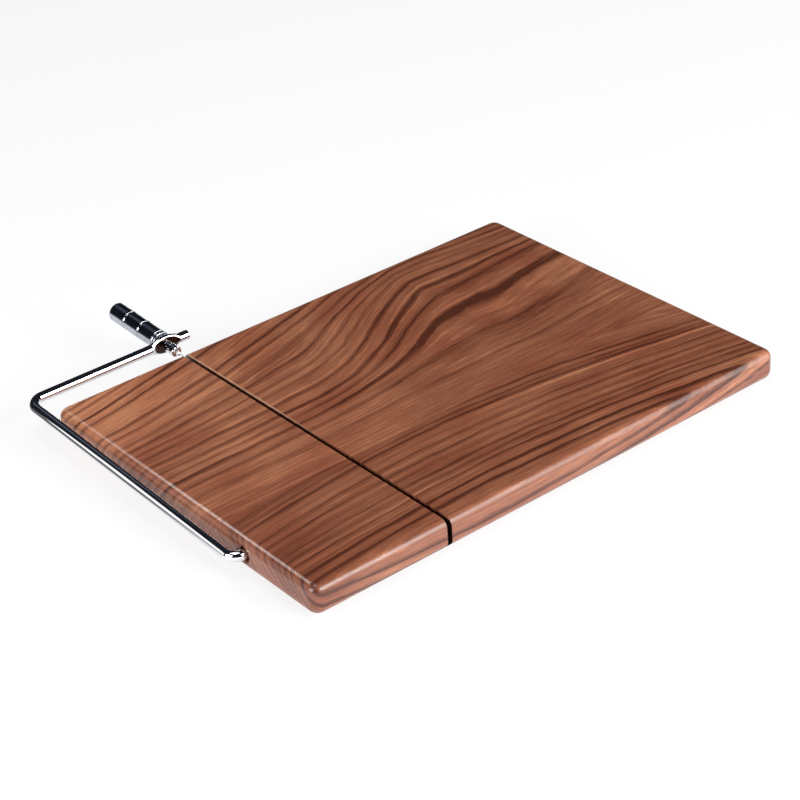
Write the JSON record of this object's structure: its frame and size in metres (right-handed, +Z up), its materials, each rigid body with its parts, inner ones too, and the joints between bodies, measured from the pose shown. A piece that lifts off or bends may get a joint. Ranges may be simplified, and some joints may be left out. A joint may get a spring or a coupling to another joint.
{
  "type": "cheese wire cutter",
  "caption": "Walnut serving board with a bent metal rod arm hinged in its end, a turned handle and a thin wire that swings down into a slot across the board.",
  "frame": {"origin": "centre of the board's underside, the face between the feet", "axes": "+X along the grain, away from the end the arm turns in; +Y towards the side the handle stands out from; +Z up"},
  "size_m": [0.3545, 0.3258, 0.0297],
  "materials": {
    "walnut": "oiled walnut with a soft sheen",
    "chrome": "polished",
    "stainless_steel": "drawn bright",
    "black_nylon": "smooth",
    "black_rubber": "moulded matt"
  },
  "bodies": {
    "board": {"stave_back": "walnut", "stave_front": "walnut", "foot_front_left": "black_rubber", "foot_front_right": "black_rubber", "foot_rear_left": "black_rubber", "foot_rear_right": "black_rubber", "foot_screw_front_left": "stainless_steel", "foot_screw_front_right": "stainless_steel", "foot_screw_rear_left": "stainless_steel", "foot_screw_rear_right": "stainless_steel"},
    "arm": {"cutting_arm": "chrome", "thrust_washer": "black_nylon"},
    "handle": {"handle_barrel": "chrome"},
    "wire_line": {"tension_bolt": "chrome", "loop_pin": "stainless_steel", "cutting_wire": "stainless_steel", "wire_ferrule": "stainless_steel", "wire_end_bead": "stainless_steel"}
  },
  "joints": [
    {"name": "arm_swing", "type": "hinge", "parent": "board", "child": "arm", "pos_m": [-0.1725, -0.0627, 0.0099], "axis": [1, 0, 0], "range_deg": [-3.5, 179]},
    {"name": "handle_turn", "type": "hinge", "parent": "arm", "child": "handle", "pos_m": [-0.0811, 0.14577, 0.01718], "axis": [0, 0.9994, 0.0349], "range_deg": [0, 1080.1]},
    {"name": "bolt_slide", "type": "slide", "parent": "arm", "child": "wire_line", "axis": [0, 0.9994, 0.0349], "range_m": [-0.0024, 0]}
  ],
  "couplings": [
    {"joint": "handle_turn", "follows": "bolt_slide", "rad_per_m": -7854}
  ]
}
